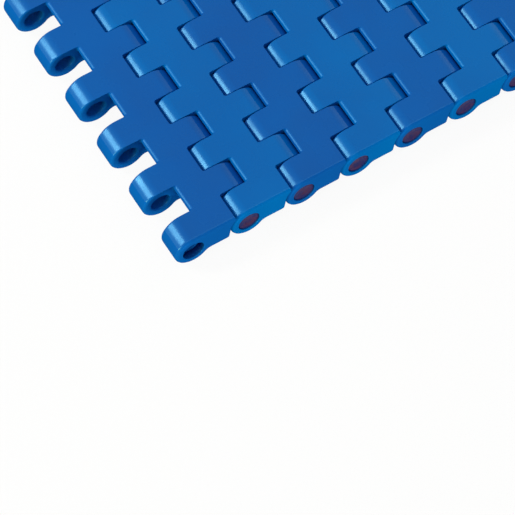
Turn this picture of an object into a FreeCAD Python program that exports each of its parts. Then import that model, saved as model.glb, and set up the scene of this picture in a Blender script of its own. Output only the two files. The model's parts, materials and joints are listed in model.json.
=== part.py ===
"""Flat-top plastic conveyor chain: a straight section of hinged rows with open ends.

Each row is one moulded module, the full width of the chain.  A spine runs across it
under a flat top plate, and round hinge eyes stand out of the spine on both sides:
one more on the leading side than on the trailing side.  The leading eyes of a row
sit between the trailing eyes of the row in front.  A plain rod passes through both
sets of eyes, and a plug in each outer eye keeps the rod in.  Cored pockets in the
underside keep the walls of the moulding thin.

X is the way the chain runs, with the open leading end at -X.  Y is across the chain.
Z is up, with the carrying face on top and the eyes resting on Z = 0.
The origin is under the middle of the section.  Millimetres.
"""
import FreeCAD, Part
import math
import os

# Chain layout
row_count = 7
leading_eye_count = 6
row_pitch = 25.4          # hinge axis to hinge axis
eye_pitch = 25.4          # along the hinge axis, leading eye to leading eye
thickness = 15.9          # carrying face to the bottom of the eyes

# Hinge eyes
leading_eye_width = 12.45
side_clearance = 0.25     # each side of an eye, to its neighbour on the next row
underside_lift = 3.4      # spine underside above the bottom of the eyes
root_radius = 3.0         # hollow where an eye runs into the underside

# Top plate and spine
lip_setback = 5.9         # hinge axis to the edge of the top plate
lip_edge_radius = 1.5     # top edge of the plate, on the leading side
back_lip_edge_radius = 0.6   # the same edge on the trailing side
nose_clearance = 0.5      # around the next row's eye, under the plate's edge
spine_draft = 0.8         # lean of the spine's side below the hinge axis
spine_edge_radius = 1.3   # lower edges of the spine

# Cored pockets in the underside, one behind each eye
core_setback = 0.5        # from the hollow behind the eye
core_wall = 2.2           # left beside a pocket, and at the spine's far side
core_roof = 3.0           # left above a pocket
core_taper = 0.4          # lean of each side over the depth
core_corner_radius = 0.8

# Rods and the plugs that keep them in
rod_diameter = 7.9
rod_clearance = 0.2       # radial
rod_chamfer = 0.8
rod_end_play = 0.3        # each end, to the plug
plug_shoulder = 0.65      # step from the rod's bore out to the plug's seat
plug_clearance = 0.05     # radial
plug_thickness = 3.0
plug_recess = 0.6         # plug face below the chain's edge
plug_chamfer = 0.4

# Sizes that follow
eye_radius = thickness / 2
trailing_eye_count = leading_eye_count - 1
trailing_eye_width = eye_pitch - leading_eye_width - 2 * side_clearance
chain_width = (leading_eye_count - 1) * eye_pitch + leading_eye_width
underside = underside_lift - eye_radius
hollow_z = underside - root_radius
hollow_x = math.sqrt((eye_radius + root_radius) ** 2 - hollow_z ** 2)
pocket_radius = eye_radius + nose_clearance
rod_radius = rod_diameter / 2
bore_radius = rod_radius + rod_clearance
seat_radius = bore_radius + plug_shoulder
plug_radius = seat_radius - plug_clearance
seat_depth = plug_recess + plug_thickness
rod_length = chain_width - 2 * (seat_depth + rod_end_play)

ACROSS = FreeCAD.Vector(0, 1, 0)
ALONG = FreeCAD.Vector(1, 0, 0)


def spot(x, z):
    """A point of a row's cross-section: x from its leading hinge axis, z from the axis height."""
    return FreeCAD.Vector(x, 0, z)


def on_circle(centre, radius, degrees):
    """A point on a circle of the cross-section, at an angle up from +X."""
    angle = math.radians(degrees)
    return centre + spot(radius * math.cos(angle), radius * math.sin(angle))


def arc(centre, radius, start, end):
    """An arc of the cross-section between two angles, in degrees."""
    ends = [on_circle(centre, radius, a) for a in (start, (start + end) / 2, end)]
    return Part.Arc(*ends).toShape()


def line(start, end):
    return Part.LineSegment(start, end).toShape()


def rounded_corner(before, corner, after, radius):
    """The start, edge and end of an arc that rounds a corner between two straight runs."""
    back = (before - corner).normalize()
    ahead = (after - corner).normalize()
    half_angle = back.getAngle(ahead) / 2
    start = corner + back * (radius / math.tan(half_angle))
    end = corner + ahead * (radius / math.tan(half_angle))
    middle_way = (back + ahead).normalize()
    crown = corner + middle_way * (radius / math.sin(half_angle) - radius)
    return start, Part.Arc(start, crown, end).toShape(), end


def across(edges, low, high):
    """A solid with this cross-section, from y = low to y = high."""
    face = Part.Face(Part.Wire(edges))
    face.translate(ACROSS * low)
    return face.extrude(ACROSS * (high - low))


def mirrored(shape):
    """The same shape on the other side of the row."""
    return shape.mirror(spot(row_pitch / 2, 0), ALONG)


def half_spine(edge_radius):
    """The leading half of the spine, with a top plate whose edge overhangs a round pocket."""
    axis = spot(0, 0)
    middle = row_pitch / 2
    lip_angle = math.degrees(math.acos(lip_setback / pocket_radius))
    lip_foot = on_circle(axis, pocket_radius, lip_angle)
    plate_end, lip_arc, lip_face = rounded_corner(
        spot(middle, eye_radius), spot(lip_setback, eye_radius), lip_foot, edge_radius)
    pocket_side = spot(pocket_radius, 0)
    lower_edge = spot(pocket_radius + spine_draft, underside)
    wall_end, edge_arc, foot = rounded_corner(
        pocket_side, lower_edge, spot(middle, underside), spine_edge_radius)
    return across([
        line(spot(middle, eye_radius), plate_end),
        lip_arc,
        line(lip_face, lip_foot),
        arc(axis, pocket_radius, lip_angle, 0),
        line(pocket_side, wall_end),
        edge_arc,
        line(foot, spot(middle, underside)),
        line(spot(middle, underside), spot(middle, eye_radius)),
    ], -chain_width / 2, chain_width / 2)


def spine():
    """The bar across the row, with a crisper plate edge on its trailing side."""
    return half_spine(lip_edge_radius).fuse(mirrored(half_spine(back_lip_edge_radius)))


def leading_eye(centre, width):
    """A round eye on the leading hinge axis, with a flat-topped neck back to the spine."""
    axis = spot(0, 0)
    middle = row_pitch / 2
    hollow = spot(hollow_x, hollow_z)
    root_angle = math.degrees(math.atan2(hollow_z, hollow_x))
    neck_foot = spot(hollow_x, underside)
    return across([
        line(spot(middle, eye_radius), spot(0, eye_radius)),
        arc(axis, eye_radius, 90, 270),
        arc(axis, eye_radius, 270, 360 + root_angle),
        arc(hollow, root_radius, 180 + root_angle, 90),
        line(neck_foot, spot(middle, underside)),
        line(spot(middle, underside), spot(middle, eye_radius)),
    ], centre - width / 2, centre + width / 2)


def core(centre, width):
    """A tapered pocket, open at the underside, behind a leading eye of this width."""
    depth = eye_radius - core_roof - underside
    start = hollow_x + core_setback
    end = row_pitch - pocket_radius - spine_draft - core_wall
    half = width / 2 - core_wall
    block = Part.makeWedge(
        start, 0, -half, core_taper - half, start + core_taper,
        end, depth, half, half - core_taper, end - core_taper)
    block.rotate(spot(0, 0), ALONG, 90)
    upright_edges = [edge for edge in block.Edges if edge.BoundBox.ZLength > depth / 2]
    block = block.makeFillet(core_corner_radius, upright_edges)
    block.translate(FreeCAD.Vector(0, centre, underside))
    return block


def round_bar(x, radius, low, high):
    """A plain cylinder across the chain, on the hinge axis at x."""
    return Part.makeCylinder(radius, high - low, FreeCAD.Vector(x, low, 0), ACROSS)


def eye_centres(count):
    """Where the eyes of one side of a row sit across the chain, about its middle."""
    return [(i - (count - 1) / 2) * eye_pitch for i in range(count)]


def module():
    """One moulded row, with its leading hinge axis on the Y axis."""
    leading = eye_centres(leading_eye_count)
    trailing = eye_centres(trailing_eye_count)
    eyes = [leading_eye(y, leading_eye_width) for y in leading]
    eyes += [mirrored(leading_eye(y, trailing_eye_width)) for y in trailing]
    cores = [core(y, leading_eye_width) for y in leading]
    cores += [mirrored(core(y, trailing_eye_width)) for y in trailing]
    body = spine().fuse(eyes).removeSplitter()
    edge = chain_width / 2
    holes = [
        round_bar(0, bore_radius, -edge, edge),
        round_bar(row_pitch, bore_radius, -edge, edge),
        round_bar(0, seat_radius, -edge, seat_depth - edge),
        round_bar(0, seat_radius, edge - seat_depth, edge),
    ]
    return body.cut(holes + cores).removeSplitter()


def turned(outline):
    """A solid turned about the Y axis from an outline of (radius, y) pairs."""
    points = [FreeCAD.Vector(r, y, 0) for r, y in outline]
    face = Part.Face(Part.makePolygon(points + points[:1]))
    return face.revolve(FreeCAD.Vector(0, 0, 0), ACROSS, 360)


def rod():
    """A headless hinge rod, chamfered at both ends."""
    end = rod_length / 2
    return turned([
        (0, -end),
        (rod_radius - rod_chamfer, -end),
        (rod_radius, rod_chamfer - end),
        (rod_radius, end - rod_chamfer),
        (rod_radius - rod_chamfer, end),
        (0, end),
    ])


def near_plug():
    """A round plug on the shoulder of its seat at the -Y edge, set in below the edge."""
    face = plug_recess - chain_width / 2
    inner = seat_depth - chain_width / 2
    return turned([
        (0, face),
        (plug_radius - plug_chamfer, face),
        (plug_radius, face + plug_chamfer),
        (plug_radius, inner),
        (0, inner),
    ])


def export(shape, row, name):
    """Writes a piece that was modelled on a row's leading hinge axis, at its place in the chain."""
    piece = shape.copy()
    piece.translate(FreeCAD.Vector((row - row_count / 2) * row_pitch, 0, eye_radius))
    piece.exportStep(os.path.join("parts", name + ".step"))


os.makedirs("parts", exist_ok=True)
one_module = module()
one_rod = rod()
one_plug = near_plug()
far_plug = one_plug.mirror(FreeCAD.Vector(0, 0, 0), ACROSS)

for row in range(row_count):
    export(one_module, row, f"chain_module_{row + 1}")
    if row > 0:
        export(one_rod, row, f"hinge_rod_{row}")
        export(one_plug, row, f"near_rod_plug_{row}")
        export(far_plug, row, f"far_rod_plug_{row}")

print("chain", row_count * row_pitch + thickness, "x", chain_width, "x", thickness, "mm")
print("module valid", one_module.isValid(), "solids", len(one_module.Solids),
      "volume", round(one_module.Volume, 1))
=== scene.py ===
# %% [markdown]
# # A flat-top plastic conveyor chain
#
# This lesson dresses a measured conveyor chain: seven moulded rows that hinge on
# plastic rods.  The measured model is loaded first and stays fixed.  It tells us
# where every row, rod and plug sits, and each new piece is built on top of it.

# %% Load the measured chain
import json
import math

import bmesh
import bpy
from mathutils import Matrix, Vector


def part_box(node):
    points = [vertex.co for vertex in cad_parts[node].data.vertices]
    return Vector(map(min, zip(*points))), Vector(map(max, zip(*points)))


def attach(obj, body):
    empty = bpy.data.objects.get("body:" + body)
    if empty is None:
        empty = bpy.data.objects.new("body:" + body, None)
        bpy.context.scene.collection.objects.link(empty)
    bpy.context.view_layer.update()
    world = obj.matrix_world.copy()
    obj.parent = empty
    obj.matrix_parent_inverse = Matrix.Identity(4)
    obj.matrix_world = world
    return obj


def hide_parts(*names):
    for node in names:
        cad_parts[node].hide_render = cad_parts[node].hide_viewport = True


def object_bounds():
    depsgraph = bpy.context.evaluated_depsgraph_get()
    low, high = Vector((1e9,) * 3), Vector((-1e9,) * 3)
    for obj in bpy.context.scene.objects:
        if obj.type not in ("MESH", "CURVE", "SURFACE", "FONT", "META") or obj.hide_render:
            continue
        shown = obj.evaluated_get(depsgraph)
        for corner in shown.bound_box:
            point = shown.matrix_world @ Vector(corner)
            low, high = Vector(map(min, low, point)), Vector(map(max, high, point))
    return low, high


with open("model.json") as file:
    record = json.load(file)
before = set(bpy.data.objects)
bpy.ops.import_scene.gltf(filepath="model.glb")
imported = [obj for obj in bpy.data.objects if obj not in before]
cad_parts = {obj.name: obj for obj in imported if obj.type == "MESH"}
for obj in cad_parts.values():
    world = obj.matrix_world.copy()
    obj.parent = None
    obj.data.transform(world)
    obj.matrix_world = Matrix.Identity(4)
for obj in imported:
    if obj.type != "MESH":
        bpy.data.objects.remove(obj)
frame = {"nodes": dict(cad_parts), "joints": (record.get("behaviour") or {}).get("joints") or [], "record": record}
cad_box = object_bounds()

record = frame["record"]
nodes = frame["nodes"]

# %% [markdown]
# ## Reading the sizes
#
# Most sizes can be read from the frame: the hinge positions give the pitch, and
# the boxes of a module, a rod and a plug give the rest.  Only what a box can't
# tell, such as the width of one hinge eye, is written here as a number.
# Blender works in metres, so a small helper turns millimetres into metres.

# %% Sizes from the frame


def mm(length):
    return length / 1000


hinges = sorted(joint["pos_m"] for joint in frame["joints"])
row_pitch = hinges[1][0] - hinges[0][0]
module_low, module_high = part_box("chain_module_1")
plug_low, plug_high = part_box("near_rod_plug_1")
eye_radius = (module_high.z - module_low.z) / 2
axis_height = module_low.z + eye_radius
near_edge = module_low.y
far_edge = module_high.y
bore_radius = mm(record["mounts"][0]["dims"]["r_mm"])
plug_radius = (plug_high.x - plug_low.x) / 2
seat_depth = plug_high.y - near_edge
row_count = len(hinges) + 1
print("pitch", row_pitch, "eye radius", eye_radius, "bore", bore_radius)
print("seat depth", seat_depth, "rows", row_count)

# %% Sizes that a box doesn't tell
EYE_PITCH = mm(25.4)
LEADING_EYES = 6
EYE_WIDTH = far_edge - near_edge - (LEADING_EYES - 1) * EYE_PITCH
PLUG_CLEARANCE = mm(0.05)
SEAT_RADIUS = plug_radius + PLUG_CLEARANCE
LIP_SETBACK = mm(5.9)
NOSE_CLEARANCE = mm(0.5)
POCKET_RADIUS = eye_radius + NOSE_CLEARANCE
SPINE_DRAFT = mm(0.8)
UNDERSIDE_LIFT = mm(3.4)
UNDERSIDE = UNDERSIDE_LIFT - eye_radius
ROOT_RADIUS = mm(3.0)
print("eye width", EYE_WIDTH, "seat", SEAT_RADIUS, "pocket", POCKET_RADIUS)

# %% [markdown]
# ## Drawing the section of a row
#
# Cut across anywhere, a row shows one of two shapes: the spine alone, or the spine
# with a round eye on one side.  The outlines are drawn like a pen line: a vertex is
# extruded to make a straight run, and spun about a centre to make an arc.  Drawing
# with operators keeps each arc true, and the number of steps is easy to change.

# %% Pen helpers
ACROSS = Vector((0, 1, 0))


def spot(x, z):
    return Vector((x, 0, z))


def run_to(bm, vert, place):
    """Extrudes one vertex to a new place and gives the new vertex."""
    made = bmesh.ops.extrude_vert_indiv(bm, verts=[vert])
    made["verts"][0].co = place
    return made["verts"][0]


ARC_STEP = 7.5
FEWEST_STEPS = 2


def verts_in(geometry):
    return [g for g in geometry if isinstance(g, bmesh.types.BMVert)]


def edges_in(geometry):
    return [g for g in geometry if isinstance(g, bmesh.types.BMEdge)]


def swing(bm, vert, centre, degrees):
    """Spins one vertex about a centre and gives the last vertex.

    Positive degrees turn anticlockwise, seen from the near edge of the chain.
    """
    steps = max(FEWEST_STEPS, round(abs(degrees) / ARC_STEP))
    made = bmesh.ops.spin(bm, geom=[vert], cent=centre, axis=-ACROSS,
                          angle=math.radians(degrees), steps=steps, use_merge=False,
                          use_normal_flip=False, use_duplicate=False)
    return verts_in(made["geom_last"])[0]


# %% [markdown]
# The hollow behind an eye is an arc that touches the round eye and the flat
# underside.  Its centre follows from the two radii, in a right-angled triangle.

# %% Outlines of the spine's side and of an eye
lip_angle = math.degrees(math.acos(LIP_SETBACK / POCKET_RADIUS))
lip_top = spot(LIP_SETBACK, eye_radius)
lip_foot = spot(LIP_SETBACK, POCKET_RADIUS * math.sin(math.radians(lip_angle)))
spine_corner = spot(POCKET_RADIUS + SPINE_DRAFT, UNDERSIDE)
hollow_z = UNDERSIDE - ROOT_RADIUS
hollow_x = math.sqrt((eye_radius + ROOT_RADIUS) ** 2 - hollow_z ** 2)
root_angle = math.degrees(math.atan2(hollow_z, hollow_x))


def draw_spine_side(bm):
    """Lip, round pocket and leaning wall, from the top plate's edge down to the underside."""
    pen = bm.verts.new(lip_top)
    pen = run_to(bm, pen, lip_foot)
    pen = swing(bm, pen, spot(0, 0), -lip_angle)
    run_to(bm, pen, spine_corner)


def draw_eye(bm):
    """From the top plate's edge over the round eye and back under to the spine."""
    pen = bm.verts.new(lip_top)
    pen = run_to(bm, pen, spot(0, eye_radius))
    pen = swing(bm, pen, spot(0, 0), 180)
    pen = swing(bm, pen, spot(0, 0), 90 + root_angle)
    pen = swing(bm, pen, spot(hollow_x, hollow_z), -90 - root_angle)
    run_to(bm, pen, spine_corner)


CIRCLE_SEGMENTS = 48


def draw_circle(bm, radius):
    turn = Matrix.Rotation(math.radians(90), 4, "X")
    bmesh.ops.create_circle(bm, segments=CIRCLE_SEGMENTS, radius=radius, matrix=turn)


def draw_plate(bm):
    """The flat top and the flat underside between the spine's two sides."""
    pen = bm.verts.new(lip_top)
    run_to(bm, pen, spot(row_pitch - LIP_SETBACK, eye_radius))
    pen = bm.verts.new(spine_corner)
    run_to(bm, pen, spot(row_pitch - spine_corner.x, UNDERSIDE))


print("lip angle", lip_angle, "root angle", root_angle)

# %% [markdown]
# The trailing side of a row is the leading side turned round, so its outlines are
# mirror copies.  To know which edges belong to an outline, the edges are compared
# before and after it is drawn.

# %% Collecting and mirroring outlines


def drawn(bm, draw, *values):
    """Draws one outline and gives its edges."""
    before = set(bm.edges)
    draw(bm, *values)
    return [edge for edge in bm.edges if edge not in before]


def mirror_copy(bm, edges):
    """Copies outline edges to the other side of the row."""
    copy = bmesh.ops.duplicate(bm, geom=edges)["geom"]
    flip = Matrix.Translation((row_pitch, 0, 0)) @ Matrix.Scale(-1, 4, (1, 0, 0))
    bmesh.ops.transform(bm, matrix=flip, verts=verts_in(copy))
    return edges_in(copy)


def row_outlines(bm):
    """Draws the outlines that a row is swept from, by name."""
    lines = {"plate": drawn(bm, draw_plate),
             "spine": drawn(bm, draw_spine_side),
             "eye": drawn(bm, draw_eye),
             "bore": drawn(bm, draw_circle, bore_radius),
             "seat": drawn(bm, draw_circle, SEAT_RADIUS)}
    for name in ("spine", "eye", "bore"):
        lines[f"back_{name}"] = mirror_copy(bm, lines[name])
    return lines


# %% [markdown]
# ## From outlines to a moulded row
#
# A row could be cut from a block with booleans, but then every edge would need
# cleaning up.  Here the outlines are swept across the chain instead, strip by strip:
# a strip with a leading eye, a narrow gap, a strip with a trailing eye, and so on.
# Where two strips differ, the flat side of an eye closes the step.  Vertices that
# meet are merged at the end, which leaves one closed skin.

# %% Sweeping outlines


def sweep(bm, edges, low, high):
    """Copies outline edges to y = low and extrudes them to y = high."""
    copy = bmesh.ops.duplicate(bm, geom=edges)["geom"]
    bmesh.ops.translate(bm, verts=verts_in(copy), vec=ACROSS * low)
    grown = bmesh.ops.extrude_edge_only(bm, edges=edges_in(copy))["geom"]
    bmesh.ops.translate(bm, verts=verts_in(grown), vec=ACROSS * (high - low))


# %% Closing sides
OUTLINE_GAP = mm(0.001)


def fill(bm, edges):
    """Fills between outline edges and gives the new faces."""
    made = bmesh.ops.triangle_fill(bm, use_beauty=True, use_dissolve=False, edges=edges)
    return [g for g in made["geom"] if isinstance(g, bmesh.types.BMFace)]


def filled(bm, edges):
    """Fills a copy of a flat outline, with its holes, and gives the new faces."""
    before = set(bm.edges)
    copy = bmesh.ops.duplicate(bm, geom=edges)["geom"]
    bmesh.ops.remove_doubles(bm, verts=verts_in(copy), dist=OUTLINE_GAP)
    return fill(bm, [edge for edge in bm.edges if edge not in before])


def stamp(bm, faces, y):
    """Copies filled faces to y."""
    copy = bmesh.ops.duplicate(bm, geom=faces)["geom"]
    bmesh.ops.translate(bm, verts=verts_in(copy), vec=ACROSS * y)


def row_sides(bm, lines):
    """Fills the flat sides that close a step between two strips, by name."""
    return {"eye": filled(bm, lines["spine"] + lines["eye"] + lines["bore"]),
            "seat": filled(bm, lines["spine"] + lines["eye"] + lines["seat"]),
            "shoulder": filled(bm, lines["seat"] + lines["bore"]),
            "back_eye": filled(bm, lines["back_spine"] + lines["back_eye"]
                               + lines["back_bore"]),
            "end": filled(bm, lines["plate"] + lines["spine"] + lines["back_spine"])}


# %% [markdown]
# Each eye has its own strip.  The two outer eyes also have the wider seat for a plug,
# with a shoulder behind it, and close the ends of the row.  On both sides of a trailing
# eye, a narrow strip of bare spine leaves air to the eyes of the next row.

# %% Strips of a row
SAME_PLACE = mm(0.01)


def leading_strip(bm, lines, sides, low, high):
    """The part of a row that has a leading eye from y = low to y = high."""
    sweep(bm, lines["plate"] + lines["eye"] + lines["back_spine"], low, high)
    at_near_edge = math.isclose(low, near_edge, abs_tol=SAME_PLACE)
    at_far_edge = math.isclose(high, far_edge, abs_tol=SAME_PLACE)
    bore_low = low + seat_depth if at_near_edge else low
    bore_high = high - seat_depth if at_far_edge else high
    sweep(bm, lines["bore"], bore_low, bore_high)
    stamp(bm, sides["seat"] if at_near_edge else sides["eye"], low)
    stamp(bm, sides["seat"] if at_far_edge else sides["eye"], high)
    if at_near_edge:
        sweep(bm, lines["seat"], low, bore_low)
        stamp(bm, sides["shoulder"], bore_low)
        stamp(bm, sides["end"], low)
    if at_far_edge:
        sweep(bm, lines["seat"], bore_high, high)
        stamp(bm, sides["shoulder"], bore_high)
        stamp(bm, sides["end"], high)


def trailing_strip(bm, lines, sides, low, high):
    """The part of a row that has a trailing eye, and the bare spine on both sides of it."""
    gap = (EYE_PITCH - 2 * EYE_WIDTH) / 2
    with_eye = lines["plate"] + lines["spine"] + lines["back_eye"] + lines["back_bore"]
    bare = lines["plate"] + lines["spine"] + lines["back_spine"]
    sweep(bm, with_eye, low, high)
    sweep(bm, bare, low - gap, low)
    sweep(bm, bare, high, high + gap)
    stamp(bm, sides["back_eye"], low)
    stamp(bm, sides["back_eye"], high)


# %% The skin of a row
SEAM_GAP = mm(0.002)
LEVEL_ANGLE = math.radians(0.5)


def eye_middles(count):
    """Where the eyes of one side of a row sit across the chain."""
    return [(i - (count - 1) / 2) * EYE_PITCH for i in range(count)]


def join_flats(bm, verts, edges):
    """Joins level faces along these edges and points all faces outward.

    Of the vertices, those on a straight line are taken out.
    """
    bmesh.ops.dissolve_limit(bm, angle_limit=LEVEL_ANGLE, use_dissolve_boundaries=False,
                             verts=verts, edges=edges, delimit=set())
    bmesh.ops.recalc_face_normals(bm, faces=bm.faces)


def row_mesh():
    """The skin of one row, with its leading hinge axis on the Y axis."""
    bm = bmesh.new()
    bm.edges.layers.float.new("bevel_weight_edge")
    lines = row_outlines(bm)
    sides = row_sides(bm, lines)
    templates = list(bm.verts)
    half = EYE_WIDTH / 2
    for y in eye_middles(LEADING_EYES):
        leading_strip(bm, lines, sides, y - half, y + half)
    for y in eye_middles(LEADING_EYES - 1):
        trailing_strip(bm, lines, sides, y - half, y + half)
    bmesh.ops.delete(bm, geom=templates, context="VERTS")
    bmesh.ops.remove_doubles(bm, verts=bm.verts, dist=SEAM_GAP)
    join_flats(bm, bm.verts, bm.edges)
    return bm


def volume_cm3(bm):
    return round(bm.calc_volume() * 1e6, 2)


row_skin = row_mesh()
print("row skin", len(row_skin.faces), "faces, volume in cm3", volume_cm3(row_skin))

# %% [markdown]
# ## Pockets in the underside
#
# A thick lump of plastic shrinks as it cools and pulls the flat top hollow, so such
# a moulding is cored from below.  Behind each eye is a pocket with rounded corners.
# The flat underside is taken out, a rounded mouth is laid in its place for each
# pocket and extruded up to a smaller roof, and the flat is filled again around them.

# %% Coring the row
CORE_SETBACK = mm(0.5)
CORE_WALL = mm(2.2)
CORE_ROOF = mm(3.0)
CORE_TAPER = mm(0.4)
CORE_RADIUS = mm(0.8)
CORNER_SEGMENTS = 4


def pocket_mouth(bm, middle, length, width):
    """The edges of a rounded rectangle on the underside."""
    place = Matrix.Translation(middle) @ Matrix.Diagonal((length, width, 1, 1))
    made = bmesh.ops.create_grid(bm, x_segments=1, y_segments=1, size=0.5, matrix=place)
    made = bmesh.ops.bevel(bm, geom=made["verts"], offset=CORE_RADIUS, offset_type="OFFSET",
                           segments=CORNER_SEGMENTS, profile=0.5, affect="VERTICES",
                           material=-1)
    sheet = made["verts"][0].link_faces[0]
    edges = list(sheet.edges)
    bmesh.ops.delete(bm, geom=[sheet], context="FACES_ONLY")
    return edges


def pocket(bm, y, mirrored):
    """One pocket up from the underside: gives the edges of its mouth and of its roof."""
    start = hollow_x + CORE_SETBACK
    end = row_pitch - spine_corner.x - CORE_WALL
    middle = (start + end) / 2
    middle = Vector((row_pitch - middle if mirrored else middle, y, UNDERSIDE))
    length, width = end - start, EYE_WIDTH - 2 * CORE_WALL
    mouth = pocket_mouth(bm, middle, length, width)
    grown = bmesh.ops.extrude_edge_only(bm, edges=mouth)["geom"]
    top = verts_in(grown)
    shrink = (1 - 2 * CORE_TAPER / length, 1 - 2 * CORE_TAPER / width, 1)
    bmesh.ops.scale(bm, vec=shrink, space=Matrix.Translation(-middle), verts=top)
    bmesh.ops.translate(bm, verts=top, vec=(0, 0, eye_radius - CORE_ROOF - UNDERSIDE))
    roof = [edge for edge in edges_in(grown) if set(edge.verts) <= set(top)]
    bmesh.ops.edgeloop_fill(bm, edges=roof)
    return mouth, roof


def is_underside(face):
    """Whether all corners of a face lie on the flat underside."""
    return all(abs(vert.co.z - UNDERSIDE) < SAME_PLACE for vert in face.verts)


def core_out(bm):
    """Puts a pocket behind every eye: gives the edges of all mouths and all roofs."""
    level = [face for face in bm.faces if is_underside(face)]
    underside = max(level, key=lambda face: face.calc_area())
    rim = list(underside.edges)
    bmesh.ops.delete(bm, geom=[underside], context="FACES_ONLY")
    made = [pocket(bm, y, False) for y in eye_middles(LEADING_EYES)]
    made += [pocket(bm, y, True) for y in eye_middles(LEADING_EYES - 1)]
    mouths = [edge for mouth, roof in made for edge in mouth]
    roofs = [edge for mouth, roof in made for edge in roof]
    fill(bm, rim + mouths)
    join_flats(bm, bm.verts, bm.edges)
    return mouths, roofs


pocket_mouths, pocket_roofs = core_out(row_skin)
open_edges = [edge for edge in row_skin.edges if not edge.is_manifold]
print("cored skin", len(row_skin.faces), "faces,", len(open_edges), "open edges")
print("volume in cm3", volume_cm3(row_skin))

# %% [markdown]
# ## Softening the edges
#
# No edge of a moulded plastic part is knife sharp, and the light on a soft edge is
# what makes it look real.  Every sharp edge gets a bevel weight, and one Bevel
# modifier later rounds each edge by its own amount.  The lips and the outer sides of
# the chain are soft.  The sides of an eye start crisp at the flat top, where the
# neighbour lies close, and get softer towards the tip of the round nose.

# %% Edge radii
OUTER_EDGE = mm(1.6)
SPINE_EDGE = mm(1.3)
LIP_EDGE = mm(1.5)
BACK_LIP_EDGE = mm(0.6)
FOOT_EDGE = mm(0.25)
POCKET_EDGE = mm(0.6)
NOSE_EDGE = mm(1.3)
TOP_EDGE = mm(0.15)
NECK_EDGE = mm(0.7)
NOSE_REACH = mm(6)
NOTCH_EDGE = mm(0.8)
MOUTH_EDGE = mm(0.4)
ROOF_EDGE = mm(0.6)
BORE_EDGE = mm(1.0)
SEAT_EDGE = mm(0.35)
WIDEST_EDGE = max(OUTER_EDGE, LIP_EDGE, NOSE_EDGE)
print("widest edge", WIDEST_EDGE)

# %% [markdown]
# Which radius an edge gets can be told from where it lies: how far from the nearer
# hinge axis, at which height, and whether it runs along the chain or across it.

# %% Which edge is which
SAME_ARC = mm(0.05)
SAME_SLICE = mm(0.1)
HOLE_MARGIN = mm(0.2)


def axis_distance(place):
    """Distance to the nearer hinge axis of the row."""
    along_chain = min(abs(place.x), abs(place.x - row_pitch))
    return math.hypot(along_chain, place.z)


def by_pocket(place):
    """Whether a point is on the round pocket that a lip overhangs."""
    on_arc = abs(axis_distance(place) - POCKET_RADIUS) < SAME_ARC
    return on_arc and place.z > -SAME_PLACE


def runs_along(edge):
    """Whether an edge stays at one place across the chain."""
    start, end = (vert.co for vert in edge.verts)
    return abs(start.y - end.y) < SAME_SLICE


def in_hole(place):
    """Whether a point is on the wall of a bore or a seat."""
    return axis_distance(place) < SEAT_RADIUS + HOLE_MARGIN


# %% Width of each edge


def side_width(start, end):
    """How far an edge in the outline of an eye or of the chain's outer side is rounded."""
    if by_pocket(start) or by_pocket(end):
        return POCKET_EDGE
    if abs(abs(start.y) - far_edge) < SAME_PLACE:
        return OUTER_EDGE
    middle = (start + end) / 2
    ahead = max(-middle.x, middle.x - row_pitch, 0)
    root = TOP_EDGE if middle.z > 0 else NECK_EDGE
    return root + (NOSE_EDGE - root) * min(ahead / NOSE_REACH, 1)


def edge_width(edge):
    """How far an outward edge is rounded."""
    start, end = (vert.co for vert in edge.verts)
    reach = max(axis_distance(start), axis_distance(end))
    if reach < SEAT_RADIUS + HOLE_MARGIN:
        return SEAT_EDGE if reach > SEAT_RADIUS - HOLE_MARGIN else BORE_EDGE
    if runs_along(edge):
        return side_width(start, end)
    if start.z < 0:
        return SPINE_EDGE
    if start.z < eye_radius - SAME_PLACE:
        return FOOT_EDGE
    return LIP_EDGE if start.x < row_pitch / 2 else BACK_LIP_EDGE


# %% Bevel weights
SHARP = math.radians(30)
mouth_edges = set(pocket_mouths)
roof_edges = set(pocket_roofs)


def soft_width(edge):
    """How far an edge of the skin is rounded, or 0 where it isn't a sharp edge."""
    if edge in roof_edges:
        return ROOF_EDGE
    if edge in mouth_edges:
        return MOUTH_EDGE
    turn = edge.calc_face_angle_signed(0)
    if turn > SHARP:
        return edge_width(edge)
    notch = turn < -SHARP and runs_along(edge) and not in_hole(edge.verts[0].co)
    return NOTCH_EDGE if notch else 0


weights = row_skin.edges.layers.float["bevel_weight_edge"]
for edge in row_skin.edges:
    edge[weights] = soft_width(edge) / WIDEST_EDGE
print("softened", len([edge for edge in row_skin.edges if edge[weights] > 0]), "edges")

# %% [markdown]
# ## One finished row
#
# A Bevel modifier rounds the weighted edges, and a Weighted Normal modifier after it
# keeps the flat faces flat.  All rows come out of one mould, so both are worked out
# once, on a pattern row, and its finished mesh is kept.  In between, the underside is
# laid again, because rounding the pockets' mouths can fold the narrow flat around them.

# %% Making pieces and softening them
EDGE_SEGMENTS = 4


def new_piece(mesh, name):
    """A smooth shaded object from a mesh."""
    mesh.shade_smooth()
    piece = bpy.data.objects.new(name, mesh)
    bpy.context.scene.collection.objects.link(piece)
    return piece


def mesh_from(bm, name):
    mesh = bpy.data.meshes.new(name)
    bm.to_mesh(mesh)
    return mesh


def soften(piece, width):
    """Rounds the weighted edges of a piece, the heaviest by the full width."""
    bevel = piece.modifiers.new("soft_edges", "BEVEL")
    bevel.limit_method = "WEIGHT"
    bevel.width = width
    bevel.segments = EDGE_SEGMENTS
    bevel.profile = 0.5
    bevel.use_clamp_overlap = False
    bevel.loop_slide = False
    bevel.miter_outer = "MITER_ARC"


def keep_flat(piece):
    """Lets the flat faces of a piece shade flat, right up to their rounded edges."""
    normals = piece.modifiers.new("flat_faces", "WEIGHTED_NORMAL")
    normals.keep_sharp = False


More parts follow.
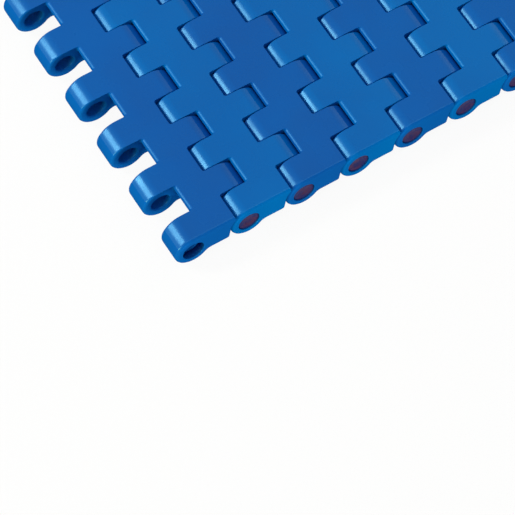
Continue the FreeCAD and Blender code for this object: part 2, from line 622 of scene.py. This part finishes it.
def finished_mesh(piece):
    """The mesh of a piece with its modifiers worked in.  The piece itself is removed."""
    worked = piece.evaluated_get(bpy.context.evaluated_depsgraph_get())
    mesh = bpy.data.meshes.new_from_object(worked)
    bpy.data.objects.remove(piece)
    return mesh


# %% Laying the underside again


def lay_underside(mesh):
    """Fills the flat underside of a rounded row anew, inside its rounded edges."""
    bm = bmesh.new()
    bm.from_mesh(mesh)
    old = [face for face in bm.faces if is_underside(face)]
    rim = [edge for edge in bm.edges
           if sum(is_underside(face) for face in edge.link_faces) == 1]
    bmesh.ops.delete(bm, geom=old, context="FACES")
    new = set(fill(bm, rim))
    inner = [edge for edge in bm.edges if set(edge.link_faces) <= new]
    join_flats(bm, [], inner)
    bm.to_mesh(mesh)


# %% Finishing the pattern row
pattern = new_piece(mesh_from(row_skin, "row_pattern"), "row_pattern")
soften(pattern, WIDEST_EDGE)
rounded_row = finished_mesh(pattern)
lay_underside(rounded_row)
pattern = new_piece(rounded_row, "row_pattern")
keep_flat(pattern)
row_pattern = finished_mesh(pattern)
print("pattern row", len(row_pattern.polygons), "faces")

# %% [markdown]
# Goods polish what they touch: the flat top and the upper part of the noses.  The lips
# are only rubbed to a satin, and the sides, walls, underside and outer edges keep the
# dull surface of the mould.  Each face gets a number here, and later the finish with
# that number.

# %% Worn, dull and satin faces
WORN, DULL, SATIN = 0, 1, 2
WORN_FRONT_TILT = math.radians(55)
WORN_BACK_TILT = math.radians(26)
WORN_SIDE_TILT = math.radians(20)
LIP_TILT = math.radians(5)


def is_worn(face):
    """Whether a face looks up enough to be polished by the goods."""
    tilt = WORN_BACK_TILT if face.normal.x > 0 else WORN_FRONT_TILT
    upright = abs(face.normal.y) < math.sin(WORN_SIDE_TILT)
    return upright and face.normal.z > math.cos(tilt)


def is_lip(face):
    """Whether a face leans towards a hinge between the two hinge axes of its row."""
    between = 0 < face.center.x < row_pitch
    return between and abs(face.normal.x) > math.sin(LIP_TILT)


def finish_number(face):
    if not is_worn(face):
        return DULL
    return SATIN if is_lip(face) else WORN


numbers = [finish_number(face) for face in row_pattern.polygons]
row_pattern.polygons.foreach_set("material_index", numbers)
print("worn, dull and satin faces", [numbers.count(n) for n in (WORN, DULL, SATIN)])

# %% [markdown]
# ## Seven rows
#
# The pattern is copied seven times.  Each copy gets its place in its mesh, the node of
# the measured chain that it stands for, and the body of the chain that it moves with.

# %% Making the rows


def row_place(row):
    """The leading hinge axis of a row, counted from 1."""
    return Vector((hinges[0][0] + (row - 2) * row_pitch, 0, axis_height))


rows = []
for row in range(1, row_count + 1):
    mesh = row_pattern.copy()
    mesh.transform(Matrix.Translation(row_place(row)))
    piece = new_piece(mesh, f"moulded_row_{row}")
    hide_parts(f"chain_module_{row}")
    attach(piece, f"row_{row}")
    rows.append(piece)
print("made", len(rows), "rows")

# %% [markdown]
# ## Rod plugs
#
# A plug is a small moulded disc pressed into the seat at each end of a rod.  Its
# outline is drawn from the middle of the face to the back, with a shallow dish and a
# round rim, and one full spin about the hinge axis turns it into a solid.

# %% Turning the plugs
SPIN_STEPS = 64


def turned(points):
    """A closed solid turned about the Y axis from (radius, y) pairs."""
    bm = bmesh.new()
    first_radius, first_y = points[0]
    pen = bm.verts.new((first_radius, first_y, 0))
    for radius, y in points[1:]:
        pen = run_to(bm, pen, Vector((radius, y, 0)))
    bmesh.ops.spin(bm, geom=list(bm.verts) + list(bm.edges), cent=(0, 0, 0), axis=ACROSS,
                   angle=math.tau, steps=SPIN_STEPS, use_merge=True, use_normal_flip=False,
                   use_duplicate=False)
    bmesh.ops.remove_doubles(bm, verts=bm.verts, dist=OUTLINE_GAP)
    bmesh.ops.recalc_face_normals(bm, faces=bm.faces)
    return bm


# %% Outline of a plug
PLUG_DISH = mm(0.35)
PLUG_DISH_RADIUS = mm(2.6)
DISH_SHARES = ((0, 1), (0.6, 0.85), (1, 0.35), (1.15, 0.1), (1.3, 0))   # of radius, of depth
PLUG_RIM = mm(0.5)
RIM_TURNS = [math.radians(degrees) for degrees in (0, 22.5, 45, 67.5, 90)]
PLUG_BACK_CHAMFER = mm(0.3)


def plug_outline(face, inner):
    """Points of a plug from its face at y = face to its back at y = inner."""
    dish = [(PLUG_DISH_RADIUS * out, face + PLUG_DISH * deep) for out, deep in DISH_SHARES]
    rim = [(plug_radius - PLUG_RIM * (1 - math.sin(turn)),
            face + PLUG_RIM * (1 - math.cos(turn))) for turn in RIM_TURNS]
    back = [(plug_radius, inner - PLUG_BACK_CHAMFER),
            (plug_radius - PLUG_BACK_CHAMFER, inner),
            (0, inner)]
    return dish + rim + back


# %% Making the plugs
near_plug = turned(plug_outline(plug_low.y, plug_high.y))
far_plug = near_plug.copy()
bmesh.ops.scale(far_plug, vec=(1, -1, 1), verts=far_plug.verts)
bmesh.ops.recalc_face_normals(far_plug, faces=far_plug.faces)

plugs = []
for row in range(2, row_count + 1):
    for side, skin in (("near", near_plug), ("far", far_plug)):
        mesh = mesh_from(skin, f"{side}_plug_{row - 1}")
        mesh.transform(Matrix.Translation(row_place(row)))
        piece = new_piece(mesh, f"{side}_plug_{row - 1}")
        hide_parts(f"{side}_rod_plug_{row - 1}")
        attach(piece, f"row_{row}")
        plugs.append(piece)
print("made", len(plugs), "plugs of", len(near_plug.faces), "faces")

# %% [markdown]
# ## Finishes
#
# Moulded plastic is never one flat colour.  The pigment flows unevenly, the mould
# leaves a fine texture, and use polishes the top.  Each finish is built from noise
# on the object's own coordinates, so the pattern stays put when a row turns.

# %% Node helpers


def new_finish(name):
    """A node material with a Principled shader, and object coordinates to read."""
    finish = bpy.data.materials.new(name)
    finish.use_nodes = True
    tree = finish.node_tree
    shader = tree.nodes["Principled BSDF"]
    place = tree.nodes.new("ShaderNodeTexCoord").outputs["Object"]
    return finish, tree, shader, place


def noise(tree, place, scale, detail):
    node = tree.nodes.new("ShaderNodeTexNoise")
    node.inputs["Scale"].default_value = scale
    node.inputs["Detail"].default_value = detail
    tree.links.new(place, node.inputs["Vector"])
    return node.outputs["Fac"]


NOISE_LOW, NOISE_HIGH = 0.35, 0.65


def spread(tree, value, low, high, start=NOISE_LOW, end=NOISE_HIGH):
    """Maps a value to a range, by default from where most of a noise lies."""
    node = tree.nodes.new("ShaderNodeMapRange")
    node.inputs["From Min"].default_value = start
    node.inputs["From Max"].default_value = end
    node.inputs["To Min"].default_value = low
    node.inputs["To Max"].default_value = high
    tree.links.new(value, node.inputs["Value"])
    return node.outputs["Result"]


def colour_mix(tree, factor, colours):
    """Mixes two plain colours by a factor."""
    node = tree.nodes.new("ShaderNodeMix")
    node.data_type = "RGBA"
    tree.links.new(factor, node.inputs[0])
    sockets = [s for s in node.inputs if s.type == "RGBA"]
    for socket, colour in zip(sockets, colours):
        socket.default_value = (*colour, 1)
    return [s for s in node.outputs if s.type == "RGBA"][0]


# %% Helpers for colour, gloss and texture


def clouded_colour(tree, shader, place, colours, scale):
    """Lets the colour drift softly between two tones."""
    cloud = noise(tree, place, scale, detail=3)
    colour = colour_mix(tree, spread(tree, cloud, 0, 1), colours)
    tree.links.new(colour, shader.inputs["Base Color"])


def patchy_gloss(tree, shader, patch, roughness, change):
    """Lets the roughness change a little from place to place."""
    level = spread(tree, patch, roughness - change, roughness + change)
    tree.links.new(level, shader.inputs["Roughness"])


def bump(tree, height, strength, distance, below=None):
    """A bump from a height, laid over another bump if one is given."""
    node = tree.nodes.new("ShaderNodeBump")
    node.inputs["Strength"].default_value = strength
    node.inputs["Distance"].default_value = distance
    tree.links.new(height, node.inputs["Height"])
    if below:
        tree.links.new(below, node.inputs["Normal"])
    return node.outputs["Normal"]


# %% [markdown]
# The rows come from two batches of blue, and every other row is a little clearer.  The
# worn faces mirror the lights weakly, with a blue tint.  The dull faces have no mirror
# of their own, only a faint sheen in the colour of the plastic.

# %% Blue moulded plastic
DEEP_BATCH = ((0.003, 0.08, 0.375), (0.002, 0.095, 0.415))
CLEAR_BATCH = ((0.001, 0.105, 0.425), (0.0005, 0.125, 0.465))
MIRROR_TINT = (0.24, 0.77, 1)
SHEEN_TINT = (0.1, 0.3, 0.6)
PLASTIC_IOR = 1.48


def blue_plastic(name, batch, roughness):
    """The colour and texture that all faces of a row share."""
    finish, tree, shader, place = new_finish(name)
    clouded_colour(tree, shader, place, batch, scale=22)
    patchy_gloss(tree, shader, noise(tree, place, scale=90, detail=4), roughness, change=0.04)
    fine = noise(tree, place, scale=2600, detail=1)
    grain = bump(tree, fine, strength=0.12, distance=mm(0.05))
    broad = noise(tree, place, scale=160, detail=2)
    wave = bump(tree, broad, strength=0.15, distance=mm(0.2), below=grain)
    tree.links.new(wave, shader.inputs["Normal"])
    shader.inputs["IOR"].default_value = PLASTIC_IOR
    return finish, shader


# %% Worn, dull and satin blue
WORN_ROUGHNESS = 0.27
SATIN_ROUGHNESS = 0.42
RUBBED_MIRROR = 0.5
DULL_ROUGHNESS = 0.42
DULL_SHEEN = 0.06


def rubbed_plastic(name, batch, roughness):
    finish, shader = blue_plastic(name, batch, roughness)
    shader.inputs["Specular IOR Level"].default_value = RUBBED_MIRROR
    shader.inputs["Specular Tint"].default_value = (*MIRROR_TINT, 1)
    return finish


def dull_plastic(name, batch):
    finish, shader = blue_plastic(name, batch, DULL_ROUGHNESS)
    shader.inputs["Specular IOR Level"].default_value = 0
    shader.inputs["Specular Tint"].default_value = (*SHEEN_TINT, 1)
    shader.inputs["Metallic"].default_value = DULL_SHEEN
    return finish


def batch_finishes(name, batch):
    """The worn, dull and satin finish of one batch, in the order of the face numbers."""
    return [rubbed_plastic(f"{name}_worn_plastic", batch, WORN_ROUGHNESS),
            dull_plastic(f"{name}_dull_plastic", batch),
            rubbed_plastic(f"{name}_satin_plastic", batch, SATIN_ROUGHNESS)]


row_finishes = [batch_finishes("deep", DEEP_BATCH), batch_finishes("clear", CLEAR_BATCH)]
for i, piece in enumerate(rows):
    for finish in row_finishes[i % 2]:
        piece.data.materials.append(finish)
print("row finishes", [finish.name for batch in row_finishes for finish in batch])

# %% [markdown]
# The plugs show as dark red-brown discs in the edge of the chain.  The rods are hidden
# in the eyes and get the same kind of plastic, a little lighter.  They are nodes of the
# measured chain and keep their own meshes, so they only need a finish.

# %% Red-brown plastic
PLUG_TONES = ((0.004, 0.006, 0.08), (0.036, 0.007, 0.05))
ROD_TONES = ((0.16, 0.04, 0.035), (0.24, 0.065, 0.05))
PLUG_ROUGHNESS = 0.5
ROD_ROUGHNESS = 0.45
BROWN_MIRROR = 0.1


def brown_plastic(name, tones, roughness):
    finish, tree, shader, place = new_finish(name)
    clouded_colour(tree, shader, place, tones, scale=300)
    patchy_gloss(tree, shader, noise(tree, place, scale=700, detail=2), roughness, change=0.06)
    fine = noise(tree, place, scale=3000, detail=2)
    grain = bump(tree, fine, strength=0.2, distance=mm(0.05))
    tree.links.new(grain, shader.inputs["Normal"])
    shader.inputs["Specular IOR Level"].default_value = BROWN_MIRROR
    return finish


plug_finish = brown_plastic("brown_plug_plastic", PLUG_TONES, PLUG_ROUGHNESS)
rod_finish = brown_plastic("brown_rod_plastic", ROD_TONES, ROD_ROUGHNESS)
for piece in plugs:
    piece.data.materials.append(plug_finish)
for row in range(1, row_count):
    rod = nodes[f"hinge_rod_{row}"]
    rod.data.materials.clear()
    rod.data.materials.append(rod_finish)
print("plug and rod finishes", plug_finish.name, rod_finish.name)

# %% [markdown]
# ## A plain studio
#
# The chain lies on a thin white light table that takes a faint shadow.  A long softbox
# at the upper left is mirrored in the noses and draws the bright strip along every
# eye.  A wide one overhead lights the flat top, a small one on the right opens up the
# gaps, and two tinted ones low on the left and in front light the noses and the edge.

# %% Table
TABLE_SIZE = 4.0
TABLE_VEIL = 0.07
TABLE_WHITE = 0.9


def white_table():
    bm = bmesh.new()
    bmesh.ops.create_grid(bm, x_segments=1, y_segments=1, size=TABLE_SIZE)
    bmesh.ops.translate(bm, verts=bm.verts, vec=(0, 0, cad_box[0].z))
    table = new_piece(mesh_from(bm, "table"), "table")
    return table


def table_finish():
    """A thin veil that takes a faint shadow and lets the white room below show through."""
    finish = bpy.data.materials.new("white_table")
    finish.use_nodes = True
    tree = finish.node_tree
    tree.nodes.clear()
    out = tree.nodes.new("ShaderNodeOutputMaterial")
    clear = tree.nodes.new("ShaderNodeBsdfTransparent")
    matte = tree.nodes.new("ShaderNodeBsdfDiffuse")
    matte.inputs["Color"].default_value = (TABLE_WHITE, TABLE_WHITE, TABLE_WHITE, 1)
    veil = tree.nodes.new("ShaderNodeMixShader")
    veil.inputs["Fac"].default_value = TABLE_VEIL
    tree.links.new(clear.outputs[0], veil.inputs[1])
    tree.links.new(matte.outputs[0], veil.inputs[2])
    tree.links.new(veil.outputs[0], out.inputs["Surface"])
    return finish


table = white_table()
table.data.materials.append(table_finish())
print("table", table.name, "at height", cad_box[0].z)

# %% [markdown]
# The room is white to the camera and in reflections, and gives only a little light of
# its own.  That keeps the background white without washing out the plastic.

# %% Room light
ROOM_WHITE = 1.0
ROOM_LEVEL = 0.1


def room_light():
    """A world that is white where it is seen, and dim as a light."""
    world = bpy.data.worlds.new("studio_room")
    bpy.context.scene.world = world
    world.use_nodes = True
    tree = world.node_tree
    shine = tree.nodes["Background"]
    shine.inputs["Color"].default_value = (1, 1, 1, 1)
    rays = tree.nodes.new("ShaderNodeLightPath")
    seen = rays.outputs["Is Camera Ray"]
    for other in ("Is Glossy Ray", "Is Transmission Ray"):
        join = tree.nodes.new("ShaderNodeMath")
        join.operation = "MAXIMUM"
        tree.links.new(seen, join.inputs[0])
        tree.links.new(rays.outputs[other], join.inputs[1])
        seen = join.outputs[0]
    level = spread(tree, seen, ROOM_LEVEL, ROOM_WHITE, start=0, end=1)
    tree.links.new(level, shine.inputs["Strength"])
    return world


room = room_light()
print("room", room.name, "light", ROOM_LEVEL)

# %% Softboxes
WHITE = (1, 1, 1)
WARM = (0.9, 1, 0.5)
MILD = (0.9, 1, 0.73)


def softbox(name, direction, away, size, power, colour):
    """A rectangular lamp that looks at the middle of the chain.

    The second side of its size lies across the chain.
    """
    lamp = bpy.data.lights.new(name, "AREA")
    lamp.shape = "RECTANGLE"
    lamp.size, lamp.size_y = size
    lamp.energy = power
    lamp.color = colour
    lamp_object = bpy.data.objects.new(name, lamp)
    bpy.context.scene.collection.objects.link(lamp_object)
    back = Vector(direction).normalized()
    along = (ACROSS - back * ACROSS.dot(back)).normalized()
    turn = Matrix((along.cross(back), along, back)).transposed().to_4x4()
    lamp_object.matrix_world = Matrix.Translation(back * away) @ turn
    lamp_object.visible_camera = False
    return lamp_object


# %% Placing the softboxes
LAMPS = {
    "key": dict(direction=(-0.67, 0.43, 0.61), away=1.5,
                size=(0.75, 0.2), power=13.5, colour=WHITE),
    "overhead": dict(direction=(0.03, -0.45, 0.89), away=1.5,
                     size=(1.6, 1.6), power=8.4, colour=WHITE),
    "right": dict(direction=(0.75, 0.1, 0.65), away=1.5,
                  size=(0.8, 0.8), power=4, colour=WHITE),
    "left_fill": dict(direction=(-0.97, -0.1, 0.2), away=1.5,
                      size=(0.6, 0.6), power=15, colour=WARM),
    "front_fill": dict(direction=(-0.22, -0.96, -0.18), away=1.2,
                       size=(0.6, 0.3), power=14, colour=MILD),
}
lamps = [softbox(name, **values) for name, values in LAMPS.items()]
print("lamps", [lamp.name for lamp in lamps])

# %% [markdown]
# ## The camera
#
# The picture was taken from high up in front of the near corner, with a long lens.
# The view is written as angles and a distance from the point in the middle of the
# picture, which are easier to change than a matrix.

# %% Camera
VIEW_AIM = Vector((mm(-69.18), mm(-85.15), axis_height))
VIEW_TURN = math.radians(-31.03)
VIEW_DOWN = math.radians(60.50)
VIEW_ROLL = math.radians(-0.29)
VIEW_DISTANCE = mm(1327.5)
PICTURE_SIDE = 515
FOCAL_PIXELS = 3399.2
SENSOR_WIDTH = 36
FARTHEST = 50


def set_camera():
    camera = bpy.data.cameras.new("camera")
    camera.sensor_width = SENSOR_WIDTH
    camera.lens = FOCAL_PIXELS / PICTURE_SIDE * SENSOR_WIDTH
    camera.clip_end = FARTHEST
    view = bpy.data.objects.new("camera", camera)
    bpy.context.scene.collection.objects.link(view)
    back = Vector((math.sin(VIEW_TURN) * math.cos(VIEW_DOWN),
                   -math.cos(VIEW_TURN) * math.cos(VIEW_DOWN), math.sin(VIEW_DOWN)))
    right = Vector((math.cos(VIEW_TURN), math.sin(VIEW_TURN), 0))
    up = back.cross(right)
    turn = Matrix((right, up, back)).transposed().to_4x4()
    roll = Matrix.Rotation(VIEW_ROLL, 4, "Z")
    view.matrix_world = Matrix.Translation(VIEW_AIM + back * VIEW_DISTANCE) @ turn @ roll
    bpy.context.scene.camera = view
    return view


view = set_camera()
bpy.context.scene.view_settings.view_transform = "Standard"
print("camera at", [round(c, 4) for c in view.location])

# %% [markdown]
# ## The measured size
#
# The dressed chain must not be larger than the measured one, so the measured box is printed before the script
# ends.

# %% The measured box
print("measured box", [list(c) for c in cad_box])
